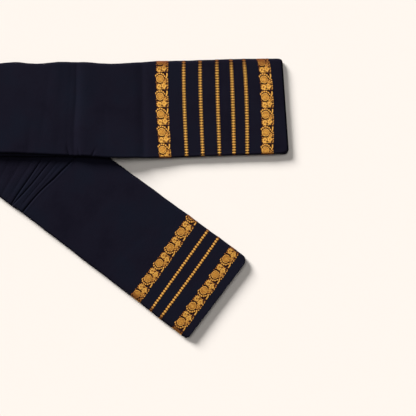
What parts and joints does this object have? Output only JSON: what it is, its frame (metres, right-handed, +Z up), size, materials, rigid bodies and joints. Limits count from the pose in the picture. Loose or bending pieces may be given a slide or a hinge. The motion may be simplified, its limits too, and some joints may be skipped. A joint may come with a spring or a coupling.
{
  "type": "folded saree",
  "caption": "Saree folded lengthwise into a narrow pack and turned once at an angle, laid flat with both woven metal-thread borders showing at its ends.",
  "frame": {"origin": "middle of the bounding box, on the surface that the saree lies on", "axes": "+Z up; +X along the upper stretch, from the turn to its border end; +Y across it, towards its closed side"},
  "size_m": [0.622, 0.513, 0.0259],
  "materials": {
    "cloth": "matte navy-black silk-cotton with a faint sheen",
    "cloth_inside": "matte navy-black silk-cotton, folded edges",
    "zari": "woven gold metal thread, satin"
  },
  "bodies": {
    "root": {"upper_stretch_cloth": "cloth", "upper_stretch_layers": "cloth_inside", "turn_cloth": "cloth", "turn_layers": "cloth_inside", "lower_stretch_cloth": "cloth", "lower_stretch_layers": "cloth_inside"}
  },
  "joints": []
}
